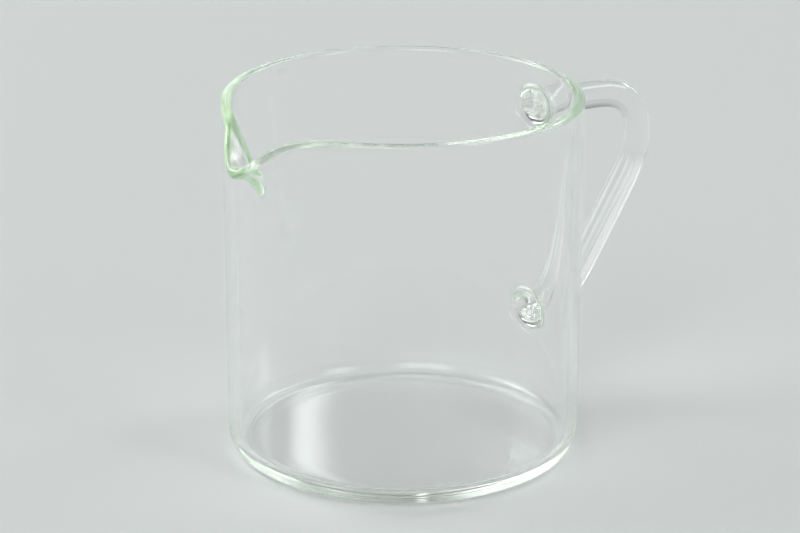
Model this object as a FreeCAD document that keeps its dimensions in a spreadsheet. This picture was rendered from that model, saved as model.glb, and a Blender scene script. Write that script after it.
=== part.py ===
import FreeCAD, Part
import math
import os
import Sketcher

# A half-litre glass jug, blown and worked at the lamp: a straight cylinder with a rounded foot, a
# fire-polished rim, a pulled pouring spout and a solid rod handle melted on at both ends. It is one
# piece of glass. The origin is at the middle of the standing face, +Z is up, the handle points
# along +X and the spout along -X. Lengths are in millimetres and angles in degrees.

SIZES = (
    ("body_radius", 44.8, "outside of the straight wall"),
    ("height", 92.5, "standing face to the top of the plain rim"),
    ("wall", 2.9, "thickness of the wall"),
    ("base_thickness", 2.9, "thickness of the base"),
    ("foot_radius", 4.8, "outside rounding between the base and the wall"),
    ("corner_radius", 3.2, "inside rounding between the base and the wall"),
    ("rim_flare", 0.2, "how far the plain rim leans out past the wall"),
    ("bend_radius", 8.6, "bend that turns the wall out towards the rim"),
    ("spout_height", 22.5, "top of the plain rim down to where the spout leaves the wall"),
    ("spout_reach", 8.3, "how far the tip of the spout stands out past the wall"),
    ("spout_drop", 9.2, "how far the tip of the spout hangs below the plain rim"),
    ("spout_spread", 50.0, "angle from the middle of the spout to the plain rim"),
    ("reach_angle", 11.8, "angle over which the reach falls off"),
    ("reach_power", 1.06, "how fast the reach falls off"),
    ("drop_angle", 12.6, "angle over which the drop falls off"),
    ("drop_power", 1.9, "how fast the drop falls off"),
    ("rod_diameter", 7.2, "thickness of the handle's rod"),
    ("arm_drop", 11.5, "top of the plain rim down to where the arm leaves the wall"),
    ("elbow_out", 49.0, "wall to the corner where the lines of arm and grip cross"),
    ("elbow_fall", 2.8, "how far that corner lies below the start of the arm"),
    ("elbow_radius", 13.7, "bend between the arm and the grip"),
    ("tail_height", 24.6, "standing face to where the tail meets the wall"),
    ("tail_out", 12.6, "wall to the corner where the lines of grip and tail cross"),
    ("tail_share", 0.054, "share of the way from tail to arm at which that corner lies"),
    ("tail_radius", 13.0, "bend between the grip and the tail"),
    ("flare_radius", 3.6, "melted glass that rounds the corner between the rod and the wall"),
)

# Steps from the middle of the spout to its end, and how much they crowd towards the middle
SPOUT_STEPS = 14
SPOUT_CROWDING = 1.2

INSIDE = "(Sizes.body_radius - Sizes.wall)"
WALL_MIDDLE = "(Sizes.body_radius - Sizes.wall / 2)"
SPOUT_FLOOR = "(Sizes.height - Sizes.spout_height)"
BESIDE_SPOUT = "(360 - 2 * Sizes.spout_spread)"
ARM_HEIGHT = "(Sizes.height - Sizes.arm_drop)"
# The rod's two ends reach this far from the axis, just past the inside of the wall
ROD_END = f"({INSIDE} - Sizes.rod_diameter / 2)"
ROD_START_HEIGHT = (
    f"({ARM_HEIGHT} + (Sizes.body_radius - {ROD_END}) * Sizes.elbow_fall / Sizes.elbow_out)"
)

# How a sketch counts its own origin and upright axis, and the places along a piece of geometry
ORIGIN, UPRIGHT = -1, -2
START, END, CENTRE = 1, 2, 3
NORMAL = FreeCAD.Vector(0, 0, 1)
QUARTER = math.pi / 2

doc = FreeCAD.newDocument("glass_jug")
sheet = doc.addObject("Spreadsheet::Sheet", "Sizes")
for row, (alias, value, meaning) in enumerate(SIZES, start=1):
    sheet.set(f"A{row}", alias)
    sheet.set(f"B{row}", str(value))
    sheet.set(f"C{row}", meaning)
    sheet.setAlias(f"B{row}", alias)
doc.recompute()

jug = doc.addObject("PartDesign::Body", "jug")
jug.Label = "jug"
jug.Placement = FreeCAD.Placement()


def worth(expression):
    """The number that an expression on the sheet has now."""
    return float(sheet.evalExpression(expression))


def origin_item(role):
    """The plane or axis of the jug's origin that has this role."""
    return next(item for item in jug.Origin.OriginFeatures if item.Role == role)


def new_sketch(name, role):
    """An empty sketch on one of the jug's origin planes."""
    sketch = jug.newObject("Sketcher::SketchObject", name)
    sketch.AttachmentSupport = [(origin_item(role), "")]
    sketch.MapMode = "FlatFace"
    return sketch


def at(x, y):
    """A point of a sketch."""
    return FreeCAD.Vector(x, y, 0)


def polar(centre, radius, way):
    """The point at a radius from a centre, in a direction in radians."""
    return centre + at(radius * math.cos(way), radius * math.sin(way))


def way_between(first, second):
    """The direction from one point to another, in radians."""
    return math.atan2(second.y - first.y, second.x - first.x)


def line(sketch, start, end):
    return sketch.addGeometry(Part.LineSegment(start, end))


def arc(sketch, centre, radius, start, end):
    """An arc that runs anticlockwise between two directions in radians."""
    return sketch.addGeometry(Part.ArcOfCircle(Part.Circle(centre, NORMAL, radius), start, end))


def tie(sketch, kind, *where):
    sketch.addConstraint(Sketcher.Constraint(kind, *where))


def drive(sketch, name, expression, kind, *where):
    """Adds a named dimension and ties it to an expression on the sheet."""
    index = sketch.addConstraint(Sketcher.Constraint(kind, *where, worth(expression)))
    sketch.renameConstraint(index, name)
    sketch.setExpression(f"Constraints.{name}", expression)


def place(sketch, name, across, up, item, end):
    """Ties a point of a sketch to its distances from the origin."""
    drive(sketch, f"{name}_across", across, "DistanceX", ORIGIN, START, item, end)
    drive(sketch, f"{name}_up", up, "DistanceY", ORIGIN, START, item, end)


def turn(kind, name, sketch, angle):
    """Turns a sketch about the jug's axis, evenly to both sides of +X."""
    turned = jug.newObject(f"PartDesign::{kind}", name)
    turned.Profile = sketch
    turned.ReferenceAxis = (origin_item("Z_Axis"), [""])
    turned.Midplane = True
    turned.setExpression("Angle", angle)
    return turned


def make_cup():
    """The base and the wall below the spout, turned in one outline."""
    sketch = new_sketch("CupOutline", "XZ_Plane")
    outside, inside = worth("Sizes.body_radius"), worth(INSIDE)
    foot, corner = worth("Sizes.foot_radius"), worth("Sizes.corner_radius")
    bottom, top = worth("Sizes.base_thickness"), worth(SPOUT_FLOOR)

    standing = line(sketch, at(0, 0), at(outside - foot, 0))
    foot_arc = arc(sketch, at(outside - foot, foot), foot, -QUARTER, 0)
    outer_wall = line(sketch, at(outside, foot), at(outside, top))
    edge = line(sketch, at(outside, top), at(inside, top))
    inner_wall = line(sketch, at(inside, top), at(inside, bottom + corner))
    corner_arc = arc(sketch, at(inside - corner, bottom + corner), corner, -QUARTER, 0)
    floor = line(sketch, at(inside - corner, bottom), at(0, bottom))
    axis = line(sketch, at(0, bottom), at(0, 0))

    tie(sketch, "Coincident", standing, START, ORIGIN, START)
    tie(sketch, "Coincident", axis, END, standing, START)
    tie(sketch, "Coincident", floor, END, axis, START)
    tie(sketch, "Coincident", outer_wall, END, edge, START)
    tie(sketch, "Coincident", edge, END, inner_wall, START)
    tie(sketch, "Tangent", standing, END, foot_arc, START)
    tie(sketch, "Tangent", foot_arc, END, outer_wall, START)
    tie(sketch, "Tangent", inner_wall, END, corner_arc, END)
    tie(sketch, "Tangent", corner_arc, START, floor, START)
    for side in (standing, edge, floor):
        tie(sketch, "Horizontal", side)
    for side in (outer_wall, inner_wall, axis):
        tie(sketch, "Vertical", side)
    place(sketch, "edge", "Sizes.body_radius", SPOUT_FLOOR, edge, START)
    drive(sketch, "thickness", "Sizes.wall", "DistanceX", edge, END, edge, START)
    drive(sketch, "bottom", "Sizes.base_thickness", "DistanceY", axis, END, axis, START)
    drive(sketch, "foot", "Sizes.foot_radius", "Radius", foot_arc)
    drive(sketch, "corner", "Sizes.corner_radius", "Radius", corner_arc)
    return turn("Revolution", "Cup", sketch, "360")


def draw_rim(sketch, reach, rim_height):
    """The wall from the spout's floor up to its round rim, bent outwards by the reach."""
    half, bend = worth("Sizes.wall / 2"), worth("Sizes.bend_radius")
    outside, inside, floor = worth("Sizes.body_radius"), worth(INSIDE), worth(SPOUT_FLOOR)
    lean = math.acos(1 - worth(reach) / bend)
    middle = at(worth(f"{WALL_MIDDLE} + {reach}"), worth(rim_height))
    hub = at(worth(WALL_MIDDLE) + bend, middle.y - bend * math.sin(lean))

    outer_wall = line(sketch, at(outside, floor), at(outside, hub.y))
    outer_bend = arc(sketch, hub, bend - half, math.pi - lean, math.pi)
    rim = arc(sketch, middle, half, -lean, math.pi - lean)
    inner_bend = arc(sketch, hub, bend + half, math.pi - lean, math.pi)
    inner_wall = line(sketch, at(inside, hub.y), at(inside, floor))
    bottom = line(sketch, at(inside, floor), at(outside, floor))

    tie(sketch, "Vertical", outer_wall)
    tie(sketch, "Vertical", inner_wall)
    tie(sketch, "Horizontal", bottom)
    tie(sketch, "Coincident", bottom, END, outer_wall, START)
    tie(sketch, "Coincident", inner_wall, END, bottom, START)
    tie(sketch, "Coincident", outer_bend, CENTRE, inner_bend, CENTRE)
    tie(sketch, "Tangent", outer_wall, END, outer_bend, END)
    tie(sketch, "Tangent", outer_bend, START, rim, START)
    tie(sketch, "Tangent", rim, END, inner_bend, START)
    tie(sketch, "Tangent", inner_bend, END, inner_wall, START)
    place(sketch, "bottom", "Sizes.body_radius", SPOUT_FLOOR, bottom, END)
    drive(sketch, "thickness", "Sizes.wall", "DistanceX", bottom, START, bottom, END)
    drive(sketch, "bend", "Sizes.bend_radius - Sizes.wall / 2", "Radius", outer_bend)
    place(sketch, "rim", f"{WALL_MIDDLE} + {reach}", rim_height, rim, CENTRE)


def make_plain_rim():
    """The top of the wall and its rim, all round but for the spout."""
    sketch = new_sketch("PlainRimOutline", "XZ_Plane")
    draw_rim(sketch, "Sizes.rim_flare", "Sizes.height - Sizes.wall / 2")
    return turn("Revolution", "PlainRim", sketch, BESIDE_SPOUT)


def left_at(share, angle, power):
    """How much of the spout's reach or drop is left at a share of its spread."""
    window = f"pow(1 - pow({share}; 2); 2)"
    return f"{window} / pow(1 + pow({share} * Sizes.spout_spread / {angle}; 2); {power})"


def make_spout():
    """The pulled spout, lofted through upright sections that fan out around the jug's axis."""
    sections = []
    for step in range(-SPOUT_STEPS, SPOUT_STEPS + 1):
        share = round(abs(step / SPOUT_STEPS) ** SPOUT_CROWDING, 4)
        sketch = new_sketch(f"SpoutSection{step + SPOUT_STEPS + 1}", "XZ_Plane")
        sketch.AttachmentOffset = FreeCAD.Placement(at(0, 0), FreeCAD.Rotation(at(0, 1), 180))
        sketch.setExpression(
            "AttachmentOffset.Rotation.Angle",
            f"180 + {math.copysign(share, step)} * Sizes.spout_spread",
        )
        reach_left = left_at(share, "Sizes.reach_angle", "Sizes.reach_power")
        drop_left = left_at(share, "Sizes.drop_angle", "Sizes.drop_power")
        draw_rim(
            sketch,
            f"(Sizes.rim_flare + (Sizes.spout_reach - Sizes.rim_flare) * {reach_left})",
            f"Sizes.height - Sizes.wall / 2 - Sizes.spout_drop * {drop_left}",
        )
        sections.append(sketch)
    spout = jug.newObject("PartDesign::AdditiveLoft", "Spout")
    spout.Profile = sections[0]
    spout.Sections = sections[1:]
    return spout


def make_handle_line():
    """The rod's centre line: arm, elbow, grip, bend and tail, from wall to wall."""
    sketch = new_sketch("HandleLine", "XZ_Plane")
    corners = {
        "arm": ("Sizes.body_radius", ARM_HEIGHT),
        "elbow": ("Sizes.body_radius + Sizes.elbow_out", f"{ARM_HEIGHT} - Sizes.elbow_fall"),
        "bend": (
            "Sizes.body_radius + Sizes.tail_out",
            f"Sizes.tail_height + Sizes.tail_share * ({ARM_HEIGHT} - Sizes.tail_height)",
        ),
        "tail": ("Sizes.body_radius", "Sizes.tail_height"),
    }
    spots = {name: at(worth(across), worth(up)) for name, (across, up) in corners.items()}
    arm_way = way_between(spots["arm"], spots["elbow"])
    grip_way = way_between(spots["elbow"], spots["bend"])
    tail_way = way_between(spots["bend"], spots["tail"])
    elbow_radius, tail_radius = worth("Sizes.elbow_radius"), worth("Sizes.tail_radius")
    elbow_cut = elbow_radius * math.tan((arm_way - grip_way) / 2)
    bend_cut = tail_radius * math.tan((grip_way - tail_way) / 2)
    past_wall = worth("Sizes.body_radius") - worth(ROD_END)
    arm_end = polar(spots["elbow"], -elbow_cut, arm_way)
    grip_end = polar(spots["bend"], -bend_cut, grip_way)

    arm = line(sketch, polar(spots["arm"], -past_wall / math.cos(arm_way), arm_way), arm_end)
    elbow = arc(sketch, polar(arm_end, elbow_radius, arm_way - QUARTER), elbow_radius,
                grip_way + QUARTER, arm_way + QUARTER)
    grip = line(sketch, polar(spots["elbow"], elbow_cut, grip_way), grip_end)
    bend = arc(sketch, polar(grip_end, tail_radius, grip_way - QUARTER), tail_radius,
               tail_way + QUARTER, grip_way + QUARTER)
    tail = line(sketch, polar(spots["bend"], bend_cut, tail_way),
                polar(spots["tail"], -past_wall / math.cos(tail_way), tail_way))

    tie(sketch, "Tangent", arm, END, elbow, END)
    tie(sketch, "Tangent", elbow, START, grip, START)
    tie(sketch, "Tangent", grip, END, bend, END)
    tie(sketch, "Tangent", bend, START, tail, START)
    drive(sketch, "elbow_radius", "Sizes.elbow_radius", "Radius", elbow)
    drive(sketch, "tail_radius", "Sizes.tail_radius", "Radius", bend)
    drive(sketch, "arm_end", ROD_END, "DistanceX", ORIGIN, START, arm, START)
    drive(sketch, "tail_end", ROD_END, "DistanceX", ORIGIN, START, tail, END)
    runs = {"arm": (arm,), "elbow": (arm, grip), "bend": (grip, tail), "tail": (tail,)}
    for name, (across, up) in corners.items():
        mark = sketch.addGeometry(Part.Point(spots[name]), True)
        for run in runs[name]:
            tie(sketch, "PointOnObject", mark, START, run)
        place(sketch, f"{name}_corner", across, up, mark, START)
    return sketch


def make_rod():
    """The handle's rod, a round section swept along its centre line."""
    handle_line = make_handle_line()
    section = new_sketch("RodSection", "YZ_Plane")
    section.AttachmentOffset = FreeCAD.Placement(at(0, 0), FreeCAD.Rotation(at(1, 0), 1))
    section.setExpression("AttachmentOffset.Base.y", ROD_START_HEIGHT)
    section.setExpression("AttachmentOffset.Base.z", ROD_END)
    section.setExpression("AttachmentOffset.Rotation.Angle",
                          "atan(Sizes.elbow_fall / Sizes.elbow_out)")
    radius = worth("Sizes.rod_diameter / 2")
    circle = section.addGeometry(Part.Circle(at(0, 0), NORMAL, radius))
    tie(section, "Coincident", circle, CENTRE, ORIGIN, START)
    drive(section, "thickness", "Sizes.rod_diameter", "Diameter", circle)
    doc.recompute()
    rod = jug.newObject("PartDesign::AdditivePipe", "Rod")
    rod.Profile = section
    runs = len(handle_line.Shape.Edges)
    rod.Spine = (handle_line, [f"Edge{number + 1}" for number in range(runs)])
    return rod


def clear_cavity():
    """Cuts off the ends of the rod that reach past the inside of the wall."""
    sketch = new_sketch("CavityOutline", "XZ_Plane")
    inside, top = worth(INSIDE), worth("Sizes.height")
    floor = worth("Sizes.base_thickness + Sizes.corner_radius")
    corners = (at(0, floor), at(inside, floor), at(inside, top), at(0, top))
    sides = [line(sketch, corners[i], corners[(i + 1) % 4]) for i in range(4)]
    for first, second in zip(sides, sides[1:] + sides[:1]):
        tie(sketch, "Coincident", first, END, second, START)
    for side in sides[::2]:
        tie(sketch, "Horizontal", side)
    for side in sides[1::2]:
        tie(sketch, "Vertical", side)
    tie(sketch, "PointOnObject", sides[3], START, UPRIGHT)
    place(sketch, "floor", INSIDE, "Sizes.base_thickness + Sizes.corner_radius", sides[1], START)
    drive(sketch, "top", "Sizes.height", "DistanceY", ORIGIN, START, sides[1], END)
    return turn("Groove", "Cavity", sketch, BESIDE_SPOUT)


def joint_edges(shape):
    """The names of the edges along which the rod meets the outside of the wall."""
    outside, rod_diameter = worth("Sizes.body_radius"), worth("Sizes.rod_diameter")
    names = []
    for number, edge in enumerate(shape.Edges, start=1):
        spots = edge.discretize(9)
        on_wall = all(abs(math.hypot(spot.x, spot.y) - outside) < 0.01 for spot in spots)
        on_rod = all(spot.x > 0 and abs(spot.y) < rod_diameter for spot in spots)
        if on_wall and on_rod:
            names.append(f"Edge{number}")
    return names


def melt_joints(base):
    """Rounds the corners between the rod and the wall, where the melted glass has flowed."""
    doc.recompute()
    joints = jug.newObject("PartDesign::Fillet", "Joints")
    joints.Base = (base, joint_edges(base.Shape))
    joints.setExpression("Radius", "Sizes.flare_radius")
    return joints


make_cup()
make_plain_rim()
make_spout()
make_rod()
melt_joints(clear_cavity())
doc.recompute()

for item in doc.Objects:
    if "Invalid" in item.State or "Error" in item.State:
        raise RuntimeError(f"{item.Name} could not be made: {item.State}")
if jug.Shape.isNull() or not jug.Shape.isValid() or len(jug.Shape.Solids) != 1:
    raise RuntimeError("the jug is not one valid solid")

os.makedirs("parts", exist_ok=True)
jug.Shape.exportStep("parts/jug.step")
volume = jug.Shape.Volume / 1000
print(f"jug: {len(jug.Shape.Faces)} faces, {volume:.2f} cubic centimetres of glass")
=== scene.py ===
import math

import bmesh
import bpy
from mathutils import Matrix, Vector


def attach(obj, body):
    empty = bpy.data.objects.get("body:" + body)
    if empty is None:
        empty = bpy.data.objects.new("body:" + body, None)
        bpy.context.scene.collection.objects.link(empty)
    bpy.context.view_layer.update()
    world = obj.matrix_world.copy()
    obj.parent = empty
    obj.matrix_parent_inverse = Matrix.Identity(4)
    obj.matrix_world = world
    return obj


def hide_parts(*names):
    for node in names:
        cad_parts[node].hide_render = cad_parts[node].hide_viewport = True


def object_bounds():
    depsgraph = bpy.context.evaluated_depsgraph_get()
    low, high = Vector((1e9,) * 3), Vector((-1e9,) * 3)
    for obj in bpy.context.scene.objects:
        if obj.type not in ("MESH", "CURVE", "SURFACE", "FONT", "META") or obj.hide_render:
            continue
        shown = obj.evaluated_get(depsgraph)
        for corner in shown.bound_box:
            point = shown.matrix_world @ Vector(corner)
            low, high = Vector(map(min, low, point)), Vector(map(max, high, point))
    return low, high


# The looks of a half-litre glass jug: a blown body with a rounded foot, a fire-polished rim and a
# pulled spout, and a rod melted on as the handle, all one skin of clear glass. +Z is up, the handle
# points along +X and the spout along -X. Lengths are in metres, angles in radians.

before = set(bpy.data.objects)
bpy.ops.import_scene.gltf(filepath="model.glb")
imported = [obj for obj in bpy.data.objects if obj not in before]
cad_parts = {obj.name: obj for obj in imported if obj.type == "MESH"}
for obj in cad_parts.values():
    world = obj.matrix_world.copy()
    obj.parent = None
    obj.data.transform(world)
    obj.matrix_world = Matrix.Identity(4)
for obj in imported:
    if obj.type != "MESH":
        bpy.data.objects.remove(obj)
cad_low, cad_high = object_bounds()

MM = 0.001
ACROSS = Vector((0, 1, 0))

# The body: its height and radius come from the frame. FOOT and CORNER are the rounding under it
# and inside it, and BEND is the radius in which its wall turns outwards at the top.
WALL = 2.9 * MM
HALF_WALL = WALL / 2
RIM_FLARE = 0.2 * MM
HEIGHT = cad_high.z
BODY_RADIUS = cad_high.y - RIM_FLARE
WALL_MIDDLE = BODY_RADIUS - HALF_WALL
BASE = 2.9 * MM
FOOT = 4.8 * MM
CORNER = 3.2 * MM
BEND = 8.6 * MM

# The spout: how far it reaches and hangs, and the angles over which that falls off
SPOUT_FLOOR = HEIGHT - 22.5 * MM
SPOUT_REACH = -cad_low.x - BODY_RADIUS
SPOUT_DROP = 9.2 * MM
SPOUT_SPREAD = math.radians(50)
REACH_ANGLE, REACH_POWER = math.radians(11.8), 1.06
DROP_ANGLE, DROP_POWER = math.radians(12.6), 1.9

# The handle: the radius of its rod and of the flares that join it to the wall, how far the two
# corners of its centre line lie out from the wall, and the bends that round them. TAIL_SHARE is
# how high the lower corner lies, as a share of the way from the tail up to the arm.
ROD = 3.6 * MM
FLARE = 3.6 * MM
ARM_DROP = 11.5 * MM
ELBOW_OUT, ELBOW_FALL = 49.0 * MM, 2.8 * MM
TAIL_HEIGHT = 24.6 * MM
TAIL_OUT, TAIL_SHARE = 12.6 * MM, 0.054
ARM_START = Vector((BODY_RADIUS, 0, HEIGHT - ARM_DROP))
ELBOW = ARM_START + Vector((ELBOW_OUT, 0, -ELBOW_FALL))
TAIL_END = Vector((BODY_RADIUS, 0, TAIL_HEIGHT))
TAIL_CORNER = TAIL_END + Vector((TAIL_OUT, 0, TAIL_SHARE * (ARM_START.z - TAIL_END.z)))
ELBOW_BEND, ELBOW_STOPS = 12.8 * MM, 14
TAIL_BEND, TAIL_STOPS = 11.5 * MM, 7

# The rod is drawn in even steps from just past the upper flare, and its bends are eased a few times
ARM_PART = 8 * MM
ROD_STEPS = 44
EASINGS = 10

# How far each joint spreads round the wall, as soft glass does when it is pressed on
UPPER_PRESS, LOWER_PRESS = 1.5, 1.6

# The cage that is smoothed at the end: its columns stand closer towards the spout, and its rows
# climb the wall outside, turn over the rim and come down inside
COLUMNS = 144
CROWDING = 0.42
FOOT_STEPS, RIM_STEPS, CORNER_STEPS = 5, 8, 4
OUTER_ROWS, SPOUT_ROWS, INNER_ROWS = 8, 10, 14
STANDING_RINGS = (12 * MM, 24 * MM, 34 * MM)
FLOOR_RINGS = (30 * MM, 20 * MM, 10 * MM)
UPPER_ROWS = [row / SPOUT_ROWS for row in range(SPOUT_ROWS + 1)]
RIM_TURNS = [math.pi * step / RIM_STEPS for step in range(1, RIM_STEPS)]
UPPER_SPOTS = [(along, 0.0) for along in UPPER_ROWS]
UPPER_SPOTS += [(1.0, around) for around in RIM_TURNS]
UPPER_SPOTS += [(along, math.pi) for along in reversed(UPPER_ROWS)]
MERGE_GAP = 0.01 * MM

# Each joint takes up a patch of the outer wall, as many rows high as it is columns wide, with one
# ring on the wall, a share of the way in, before the rings of its flare
PATCH = 8
LOWER_PATCH = (15.4 * MM, 35.6 * MM)
UPPER_SHARES = (UPPER_ROWS[1], UPPER_ROWS[1 + PATCH])
UPPER_PATCH = [SPOUT_FLOOR + (HEIGHT - HALF_WALL - SPOUT_FLOOR) * share for share in UPPER_SHARES]
COLLAR_SHARE = 0.55
FLARE_STEPS = 5

# The glass: clear, green where it is deep, with slow waves in its surface and faint smears on it
CLEAR = (1, 1, 1, 1)
REFRACTION = 1.47
DEEP_COLOUR = (0.66, 0.92, 0.62, 1)
DEEP_DENSITY = 1.3
WAVE_SCALE, WAVE_STRETCH = 55.0, (1.0, 1.0, 0.25)
WAVE_STRENGTH, WAVE_HEIGHT = 0.5, 0.05 * MM
SMEAR_SCALE, SMEAR_ROUGHNESS = 28.0, 0.02
SMEAR_START, SMEAR_END = 0.5, 0.8

# The lip carries a painted green reflection, standing in for green surroundings that the rim and
# spout mirror. It sets in along the spout and up its rounded edge, which drops with it, and it is
# faint on the side that lies away from +Y
PAINTED_GREEN_REFLECTION = (0.74, 0.91, 0.62, 1)
GREEN_START, GREEN_END = 24 * MM, 42 * MM
DROP_START, DROP_END = 43 * MM, 54 * MM
EDGE_START, EDGE_END = HEIGHT - 3.6 * MM, HEIGHT - 1.4 * MM
SIDE_START, SIDE_END = -10 * MM, 6 * MM
FAINT_SIDE = 0.25

# The board under the jug, just below it
BOARD = (0.57, 0.585, 0.58, 1)
BOARD_SIZE = 6
BOARD_GAP = 0.2 * MM
BOARD_ROUGHNESS, GRAIN_ROUGHNESS = 0.6, 0.2
GRAIN_SCALE = 900.0
TOOTH_STRENGTH, TOOTH_HEIGHT = 0.1, 0.1 * MM

# The camera stands where the photograph was taken from. The length of its lens is counted in
# pixels of a frame that is FRAME_PIXELS wide.
CAMERA_PLACE = (-0.4271, -0.5090, 0.2838)
CAMERA_TURN = math.radians(39.936)
CAMERA_DIP = math.radians(19.63)
CAMERA_BEARING = math.pi / 2 - CAMERA_TURN
LENS_PIXELS, FRAME_PIXELS = 2799, 800
SENSOR_WIDTH = 36

# The room round the jug, pale at its horizon and dim overhead, with its windows and one lamp
HORIZON = (0.55, 0.565, 0.56, 1)
OVERHEAD = (0.15, 0.16, 0.16, 1)
DIM_START, DIM_END = 0.1, 0.6
WINDOW = (4.2, 4.3, 4.3, 1)
SLIT_SHARE = 0.4
AHEAD_START, AHEAD_END = 0.05, 0.1
LAMP_SIZE, LAMP_POWER = 0.5, 2
LAMP_TARGET = (0, 0, 0.05)

# Light passes many times through the rim and the foot
BOUNCES = 256


def left_at(share, angle, power):
    """How much of the spout's reach or drop is left at a share of its spread."""
    fade = (1 - share**2) ** 2
    return fade / (1 + (share * SPOUT_SPREAD / angle) ** 2) ** power


def wall_place(angle, along, around):
    """Radius and height of a place on the wall above the spout's floor.

    angle is counted from the middle of the spout, along runs from 0 at the floor to 1 at the rim,
    and around turns over the rim from the outer side of the wall to its inner side.
    """
    share = min(1.0, abs(angle) / SPOUT_SPREAD)
    reach = RIM_FLARE + (SPOUT_REACH - RIM_FLARE) * left_at(share, REACH_ANGLE, REACH_POWER)
    drop = SPOUT_DROP * left_at(share, DROP_ANGLE, DROP_POWER)
    lean = math.acos(1 - reach / BEND)
    straight = HEIGHT - HALF_WALL - drop - BEND * math.sin(lean) - SPOUT_FLOOR
    length = along * (straight + BEND * lean)
    turn = max(0.0, length - straight) / BEND
    radius = WALL_MIDDLE + BEND * (1 - math.cos(turn)) + HALF_WALL * math.cos(around - turn)
    height = min(length, straight) + BEND * math.sin(turn) + HALF_WALL * math.sin(around - turn)
    return radius, SPOUT_FLOOR + height


def outline():
    """Radius and height of each ring, from the standing face round the rim to the inside floor."""
    flat = BODY_RADIUS - FOOT
    inside = BODY_RADIUS - WALL
    corner_top = BASE + CORNER
    low, high = LOWER_PATCH
    rings = [(radius, 0) for radius in (*STANDING_RINGS, flat)]
    for step in range(1, FOOT_STEPS + 1):
        turn = math.radians(90 / FOOT_STEPS) * step
        rings.append((flat + FOOT * math.sin(turn), FOOT * (1 - math.cos(turn))))
    rings.append((BODY_RADIUS, (FOOT + low) / 2))
    for row in range(PATCH + 1):
        rings.append((BODY_RADIUS, low + (high - low) * row / PATCH))
    for row in range(1, OUTER_ROWS):
        rings.append((BODY_RADIUS, high + (SPOUT_FLOOR - high) * row / OUTER_ROWS))
    rings += [wall_place(math.pi, *spot) for spot in UPPER_SPOTS]
    for row in range(1, INNER_ROWS + 1):
        rings.append((inside, SPOUT_FLOOR + (corner_top - SPOUT_FLOOR) * row / INNER_ROWS))
    for step in range(1, CORNER_STEPS + 1):
        turn = math.radians(90 / CORNER_STEPS) * step
        rings.append((inside - CORNER * (1 - math.cos(turn)), corner_top - CORNER * math.sin(turn)))
    return rings + [(radius, BASE) for radius in FLOOR_RINGS]


def bearing(place):
    """The direction of a place round the jug's axis."""
    return math.atan2(place.y, place.x)


def edited_mesh(thing):
    """The mesh of an object in edit mode."""
    edited = bmesh.from_edit_mesh(thing.data)
    edited.verts.ensure_lookup_table()
    return edited


def lathe_body():
    """The plain body, drawn up ring by ring from a round disc, before its spout is pulled."""
    rings = outline()
    radius, height = rings[0]
    bpy.ops.object.select_all(action="DESELECT")
    bpy.ops.mesh.primitive_circle_add(vertices=COLUMNS, radius=radius, fill_type="TRIFAN")
    body = bpy.context.object
    body.name = "glass_jug"
    for vertex in body.data.vertices:
        if vertex.co.length > radius / 2:
            turn = bearing(vertex.co)
            turn += CROWDING * math.sin(turn)
            vertex.co = Vector((math.cos(turn), math.sin(turn), 0)) * radius
    bpy.ops.object.mode_set(mode="EDIT")
    bpy.ops.mesh.select_mode(type="EDGE")
    bpy.ops.mesh.select_all(action="DESELECT")
    edited = edited_mesh(body)
    for edge in edited.edges:
        edge.select_set(edge.is_boundary)
    bmesh.update_edit_mesh(body.data)
    for next_radius, next_height in rings[1:]:
        rise = (0, 0, next_height - height)
        scale = next_radius / radius
        bpy.ops.mesh.extrude_edges_move(TRANSFORM_OT_translate={"value": rise})
        bpy.ops.transform.resize(value=(scale, scale, 1), center_override=(0, 0, next_height))
        radius, height = next_radius, next_height
    bpy.ops.mesh.extrude_edges_move()
    bpy.ops.mesh.merge(type="CENTER")
    return body


def pull_spout(body):
    """Bends the top of the wall outwards and down on the side away from the handle."""
    plain = {spot: wall_place(math.pi, *spot) for spot in UPPER_SPOTS}
    edited = edited_mesh(body)
    for vertex in edited.verts:
        angle = math.pi - abs(bearing(vertex.co))
        if vertex.co.z < SPOUT_FLOOR + MM or angle > SPOUT_SPREAD:
            continue
        here = (vertex.co.xy.length, vertex.co.z)
        nearest = min(plain, key=lambda spot: math.dist(plain[spot], here))
        radius, height = wall_place(angle, *nearest)
        outwards = vertex.co.xy.normalized() * radius
        vertex.co = (outwards.x, outwards.y, height)
    bmesh.update_edit_mesh(body.data)


def joint_rings(start, way, turns, shares):
    """Rings of the melted glass between the wall and the rod, at shares of the way to the rod.

    A ball that rolls round the corner touches both, and the glass follows it. start and way give
    the rod's centre line. Each turn round it gives one place of a ring.
    """
    rings = [[] for _ in shares]
    reach = BODY_RADIUS + FLARE
    for turn in turns:
        aside = ACROSS * math.cos(turn) + way.cross(ACROSS) * math.sin(turn)
        near = start + (ROD + FLARE) * aside
        # The ball's centre lies a step along the rod from near, where it is a reach from the axis
        flat, slant = way.x**2, near.x * way.x
        short = near.x**2 + near.y**2 - reach**2
        step = (math.copysign(math.sqrt(slant**2 - flat * short), way.x) - slant) / flat
        ball = near + step * way
        to_wall = Vector((-ball.x, -ball.y, 0)).normalized()
        for ring, share in zip(rings, shares):
            ring.append(ball + FLARE * to_wall.slerp(-aside, share))
    return rings


def draw_out(body, ring, places):
    """Extrudes the selected ring of edges to new places, one for each of its vertices."""
    bpy.ops.mesh.extrude_edges_move()
    edited = edited_mesh(body)
    order = {tuple(place): number for number, place in enumerate(ring)}
    for vertex in edited.verts:
        if vertex.select:
            vertex.co = places[order[tuple(vertex.co)]]
    bmesh.update_edit_mesh(body.data)
    return [Vector(place) for place in places]


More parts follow.
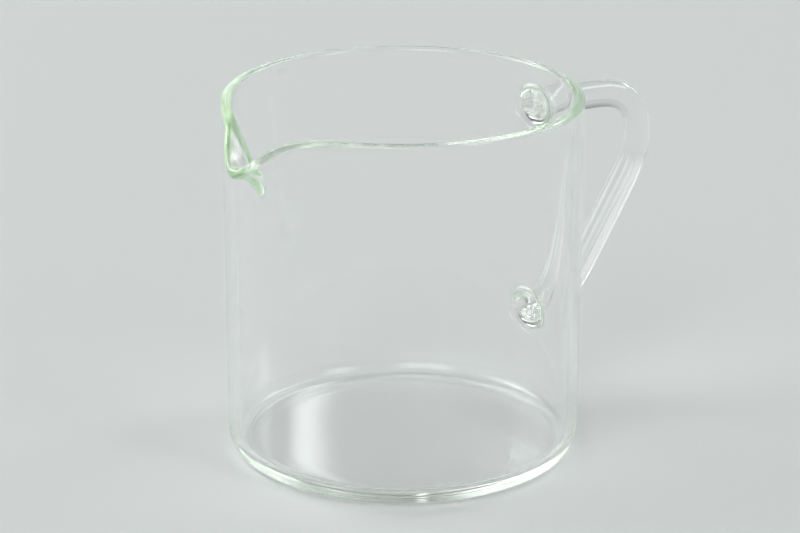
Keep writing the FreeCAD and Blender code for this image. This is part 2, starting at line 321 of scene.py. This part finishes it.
def open_patch(body, low, high):
    """Cuts the patch for a joint out of the outer wall and returns the ring round the hole."""
    half = PATCH / 2 * (1 + CROWDING) * math.tau / COLUMNS
    bpy.ops.mesh.select_mode(type="FACE")
    bpy.ops.mesh.select_all(action="DESELECT")
    edited = edited_mesh(body)
    for face in edited.faces:
        middle = face.calc_center_median()
        outside = middle.xy.length > WALL_MIDDLE and abs(bearing(middle)) < half
        face.select_set(outside and low < middle.z < high)
    bmesh.update_edit_mesh(body.data)
    bpy.ops.mesh.delete(type="FACE")
    bpy.ops.mesh.select_mode(type="EDGE")
    edited = edited_mesh(body)
    for edge in edited.edges:
        middle = (edge.verts[0].co + edge.verts[1].co) / 2
        edge.select_set(edge.is_boundary and low - MM < middle.z < high + MM)
    bmesh.update_edit_mesh(body.data)
    centre = (low + high) / 2
    slack = 0.001

    def way_round(vertex):
        """The turn of a vertex from +Y, with slack so that the one at 0 always comes first."""
        return (math.atan2(vertex.co.z - centre, vertex.co.y) + slack) % math.tau

    ring = sorted((vertex for vertex in edited.verts if vertex.select), key=way_round)
    return [vertex.co.copy() for vertex in ring]


def between(first, second, share):
    """The ring at a share of the way from one ring to another."""
    return [a.lerp(b, share) for a, b in zip(first, second)]


def on_wall(places):
    """The same places pushed out to the outer wall."""
    pushed = []
    for place in places:
        out = place.xy.normalized() * BODY_RADIUS
        pushed.append(Vector((out.x, out.y, place.z)))
    return pushed


def pressed_out(places, press):
    """The same places spread round the jug's axis."""
    spread = []
    for place in places:
        turn, reach = bearing(place) * press, place.xy.length
        spread.append(Vector((reach * math.cos(turn), reach * math.sin(turn), place.z)))
    return spread


def build_joint(body, low, high, start, way, turns, press):
    """Builds the flare of one joint on the wall and returns its last ring, on the rod."""
    ring = open_patch(body, low, high)
    shares = [step / FLARE_STEPS for step in range(FLARE_STEPS + 1)]
    flare = [pressed_out(places, press) for places in joint_rings(start, way, turns, shares)]
    collar = on_wall(between(ring, flare[0], COLLAR_SHARE))
    for places in [collar] + flare:
        ring = draw_out(body, ring, places)
    return ring


def rod_ring(point, way, turns):
    """A ring round the rod's centre line."""
    return [point + ROD * (ACROSS * math.cos(t) + way.cross(ACROSS) * math.sin(t)) for t in turns]


def bend_stops(corner, before, after, radius, steps):
    """Points along a round bend that rounds off a corner of the rod's centre line."""
    angle = before.angle(after)
    cut = radius * math.tan(angle / 2)
    hub = corner - before * cut + before.cross(ACROSS).normalized() * -radius
    stops = []
    for step in range(steps + 1):
        turn = angle * step / steps
        way = before * math.cos(turn) - before.cross(ACROSS) * math.sin(turn)
        stops.append(hub + way.cross(ACROSS) * radius)
    return stops


def eased(points, steps, passes):
    """Even places along the line through the points, with its bends softened."""
    lengths = [0.0]
    for first, second in zip(points, points[1:]):
        lengths.append(lengths[-1] + (second - first).length)
    line, leg = [], 0
    for step in range(steps + 1):
        goal = lengths[-1] * step / steps
        while leg < len(points) - 2 and lengths[leg + 1] < goal:
            leg += 1
        share = (goal - lengths[leg]) / (lengths[leg + 1] - lengths[leg])
        line.append(points[leg].lerp(points[leg + 1], share))
    for _ in range(passes):
        inner = [(a + 2 * b + c) / 4 for a, b, c in zip(line, line[1:], line[2:])]
        line = [line[0], *inner, line[-1]]
    return line


def melt_on_handle(body):
    """The handle: a flare at each joint, and the rod drawn from the upper one to the lower one."""
    arm_way = (ELBOW - ARM_START).normalized()
    grip_way = (TAIL_CORNER - ELBOW).normalized()
    tail_way = (TAIL_END - TAIL_CORNER).normalized()
    count = 4 * PATCH
    turns = [math.tau * number / count for number in range(count)]
    back = [-turn for turn in turns]

    lower = build_joint(body, *LOWER_PATCH, TAIL_END, tail_way, back, LOWER_PRESS)
    lower = [lower[-number % count] for number in range(count)]
    ring = build_joint(body, *UPPER_PATCH, ARM_START, arm_way, turns, UPPER_PRESS)

    stops = [ARM_START + arm_way * ARM_PART]
    stops += bend_stops(ELBOW, arm_way, grip_way, ELBOW_BEND, ELBOW_STOPS)
    stops += bend_stops(TAIL_CORNER, grip_way, tail_way, TAIL_BEND, TAIL_STOPS)
    line = eased(stops, ROD_STEPS, EASINGS)
    first, last = rod_ring(line[0], arm_way, turns), rod_ring(line[-1], tail_way, turns)
    rings = [between(ring, first, 0.5), first]
    for before, here, after in zip(line, line[1:], line[2:]):
        rings.append(rod_ring(here, (after - before).normalized(), turns))
    rings += [last, between(last, lower, 0.5), lower]
    for places in rings:
        ring = draw_out(body, ring, places)


def blow_jug():
    """The whole jug, closed and smoothed."""
    body = lathe_body()
    pull_spout(body)
    melt_on_handle(body)
    bpy.ops.mesh.select_all(action="SELECT")
    bpy.ops.mesh.remove_doubles(threshold=MERGE_GAP)
    bpy.ops.mesh.normals_make_consistent(inside=False)
    bpy.ops.object.mode_set(mode="OBJECT")
    smooth = body.modifiers.new("smooth", "SUBSURF")
    smooth.levels = smooth.render_levels = 1
    bpy.ops.object.modifier_apply(modifier=smooth.name)
    bpy.ops.object.shade_smooth()
    return body


class Shade:
    """An output among the nodes of a material or the world. Sums on it add Math nodes."""

    def __init__(self, tree, socket=None):
        self.tree = tree
        self.socket = socket

    def make(self, kind, output, values, **settings):
        """One output of a new node that has these settings and these values or links."""
        node = self.tree.nodes.new(kind)
        for name, setting in settings.items():
            setattr(node, name, setting)
        for name, value in values.items():
            if isinstance(value, Shade):
                self.tree.links.new(value.socket, node.inputs[name])
            else:
                node.inputs[name].default_value = value
        return Shade(self.tree, node.outputs[output])

    def beside(self, output):
        """Another output of the same node."""
        return Shade(self.tree, self.socket.node.outputs[output])

    def along(self, axis):
        """How far a direction runs along an axis."""
        return self.make("ShaderNodeVectorMath", "Value", {0: self, 1: axis}, operation="DOT_PRODUCT")

    def step(self, start, end):
        """0 below start and 1 above end, with a smooth rise between them."""
        limits = {"Value": self, "From Min": start, "From Max": end}
        return self.make("ShaderNodeMapRange", "Result", limits, interpolation_type="SMOOTHSTEP")

    def maths(self, operation, first, second):
        """One Math node."""
        return self.make("ShaderNodeMath", 0, {0: first, 1: second}, operation=operation)

    def __add__(self, other):
        return self.maths("ADD", self, other)

    def __sub__(self, other):
        return self.maths("SUBTRACT", self, other)

    def __rsub__(self, other):
        return self.maths("SUBTRACT", other, self)

    def __mul__(self, other):
        return self.maths("MULTIPLY", self, other)

    __radd__ = __add__
    __rmul__ = __mul__


def clean_tree(owner):
    """The emptied nodes of a material or a world, and its output node."""
    owner.use_nodes = True
    tree = owner.node_tree
    tree.nodes.clear()
    kind = "World" if isinstance(owner, bpy.types.World) else "Material"
    return Shade(tree), tree.nodes.new("ShaderNodeOutput" + kind)


def mixed_colour(graph, share, first, second):
    """One colour turning into another as the share goes from 0 to 1."""
    inputs = {0: share, 6: first, 7: second}
    return graph.make("ShaderNodeMix", 2, inputs, data_type="RGBA")


def painted_reflection_share(place):
    """How much painted green reflection lies on the glass at a place: only at the lip, and less on one
    side of it.
    """
    sides = place.make("ShaderNodeSeparateXYZ", "X", {"Vector": place})
    across, up = sides.beside("Y"), sides.beside("Z")
    out = -1 * sides
    level = up + SPOUT_DROP * out.step(DROP_START, DROP_END)
    at_lip = out.step(GREEN_START, GREEN_END) * level.step(EDGE_START, EDGE_END)
    return at_lip * ((1 - FAINT_SIDE) * across.step(SIDE_START, SIDE_END) + FAINT_SIDE)


def clear_glass():
    """Clear glass with a painted green reflection at the spout, and the slow waves and faint smears of
    blown work.
    """
    material = bpy.data.materials.new("clear_glass")
    graph, output = clean_tree(material)
    place = graph.make("ShaderNodeTexCoord", "Object", {})
    stretch = {0: place, 1: WAVE_STRETCH}
    drawn = graph.make("ShaderNodeVectorMath", "Vector", stretch, operation="MULTIPLY")
    waves = graph.make("ShaderNodeTexNoise", 0, {"Vector": drawn, "Scale": WAVE_SCALE, "Detail": 1.0})
    smears = graph.make("ShaderNodeTexNoise", 0, {"Vector": place, "Scale": SMEAR_SCALE, "Detail": 4.0})
    ripple = {"Height": waves, "Strength": WAVE_STRENGTH, "Distance": WAVE_HEIGHT}
    inputs = {
        # The base colour turns to a painted green reflection at the lip
        "Base Color": mixed_colour(graph, painted_reflection_share(place), CLEAR, PAINTED_GREEN_REFLECTION),
        "Roughness": smears.step(SMEAR_START, SMEAR_END) * SMEAR_ROUGHNESS,
        "IOR": REFRACTION,
        "Transmission Weight": 1.0,
        "Normal": graph.make("ShaderNodeBump", "Normal", ripple),
    }
    surface = graph.make("ShaderNodeBsdfPrincipled", "BSDF", inputs)
    depth = {"Color": DEEP_COLOUR, "Density": DEEP_DENSITY}
    inside = graph.make("ShaderNodeVolumeAbsorption", "Volume", depth)
    graph.tree.links.new(surface.socket, output.inputs["Surface"])
    graph.tree.links.new(inside.socket, output.inputs["Volume"])
    return material


def pale_board():
    """The matt pale finish of the board."""
    material = bpy.data.materials.new("pale_board")
    graph, output = clean_tree(material)
    place = graph.make("ShaderNodeTexCoord", "Object", {})
    grain = graph.make("ShaderNodeTexNoise", 0, {"Vector": place, "Scale": GRAIN_SCALE, "Detail": 2.0})
    tooth = {"Height": grain, "Strength": TOOTH_STRENGTH, "Distance": TOOTH_HEIGHT}
    inputs = {
        "Base Color": BOARD,
        "Roughness": grain * GRAIN_ROUGHNESS + BOARD_ROUGHNESS,
        "Normal": graph.make("ShaderNodeBump", "Normal", tooth),
    }
    surface = graph.make("ShaderNodeBsdfPrincipled", "BSDF", inputs)
    graph.tree.links.new(surface.socket, output.inputs["Surface"])
    return material


def lay_board():
    """The board that the jug stands on."""
    bpy.ops.object.select_all(action="DESELECT")
    bpy.ops.mesh.primitive_plane_add(size=BOARD_SIZE, location=(0, 0, -BOARD_GAP))
    board = bpy.context.object
    board.name = "board"
    board.data.materials.append(pale_board())
    return board


def within(value, low, high, fade):
    """1 between two limits and 0 outside them, with a soft edge inside each."""
    return value.step(low, low + fade) * (-1 * value).step(-high, fade - high)


def window(way, towards, half_width, low, high, fade):
    """How bright one window of the room is in a direction: 1 in its middle and 0 around it.

    towards is its bearing. The sizes are as on a ball of radius 1 round the jug: half its width,
    its lower and upper edge above the horizon, and the width of its soft edges.
    """
    ahead = Vector((math.cos(towards), math.sin(towards), 0))
    width = within(way.along((ahead.y, -ahead.x, 0)), -half_width, half_width, fade)
    height = within(way.along((0, 0, 1)), low, high, fade)
    return width * height * way.along(ahead).step(AHEAD_START, AHEAD_END)


def light_room():
    """Soft light from all round, pale at the horizon, with windows that show only in the glass."""
    world = bpy.context.scene.world or bpy.data.worlds.new("room")
    bpy.context.scene.world = world
    graph, output = clean_tree(world)
    way = graph.make("ShaderNodeTexCoord", "Generated", {})
    shade = mixed_colour(graph, way.along((0, 0, 1)).step(DIM_START, DIM_END), HORIZON, OVERHEAD)

    slit = window(way, CAMERA_BEARING + 0.078, half_width=0.03, low=0.25, high=0.8, fade=0.028)
    left = window(way, CAMERA_BEARING + 1.2, half_width=0.44, low=0.3, high=0.95, fade=0.24)
    right = window(way, CAMERA_BEARING - 1.0, half_width=0.22, low=0.25, high=0.95, fade=0.2)
    back_left = window(way, CAMERA_BEARING + 2.8, half_width=0.37, low=0.35, high=0.98, fade=0.24)
    back_right = window(way, CAMERA_BEARING - 2.2, half_width=0.22, low=0.3, high=0.95, fade=0.2)
    bright = SLIT_SHARE * slit + left + right + back_left + back_right

    unseen = 1 - graph.make("ShaderNodeLightPath", "Is Camera Ray", {})
    colour = mixed_colour(graph, bright * unseen, shade, WINDOW)
    room = graph.make("ShaderNodeBackground", 0, {"Color": colour, "Strength": 1.0})
    graph.tree.links.new(room.socket, output.inputs["Surface"])


def seen_from_camera(aside, away, up):
    """A point given as the camera sees it from the jug: to the right, further away, and up."""
    ahead = Vector((math.cos(CAMERA_BEARING), math.sin(CAMERA_BEARING), 0))
    right = Vector((ahead.y, -ahead.x, 0))
    return aside * right + away * ahead + Vector((0, 0, up))


def hang_lamp():
    """A soft lamp to the left of the jug and behind it, which faces it and isn't seen itself."""
    light = bpy.data.lights.new("window", "AREA")
    light.size, light.energy = LAMP_SIZE, LAMP_POWER
    lamp = bpy.data.objects.new("window", light)
    bpy.context.scene.collection.objects.link(lamp)
    lamp.location = seen_from_camera(aside=-1.0, away=0.6, up=1.0)
    lamp.visible_camera = False
    lamp.rotation_euler = (Vector(LAMP_TARGET) - lamp.location).to_track_quat("-Z", "Y").to_euler()


def place_camera():
    """The camera at the photograph's angle, level from side to side."""
    lens = bpy.data.cameras.new("camera")
    lens.sensor_width = SENSOR_WIDTH
    lens.lens = LENS_PIXELS / FRAME_PIXELS * SENSOR_WIDTH
    camera = bpy.data.objects.new("camera", lens)
    camera.location = CAMERA_PLACE
    camera.rotation_euler = (math.pi / 2 - CAMERA_DIP, 0, -CAMERA_TURN)
    bpy.context.scene.collection.objects.link(camera)
    bpy.context.scene.camera = camera


jug = blow_jug()
jug.data.materials.append(clear_glass())
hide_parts("jug")
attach(jug, "root")

board = lay_board()

light_room()
hang_lamp()
place_camera()

cycles = bpy.context.scene.cycles
cycles.max_bounces = cycles.transmission_bounces = cycles.glossy_bounces = BOUNCES
cycles.blur_glossy = 0
bpy.context.scene.view_settings.view_transform = "Standard"
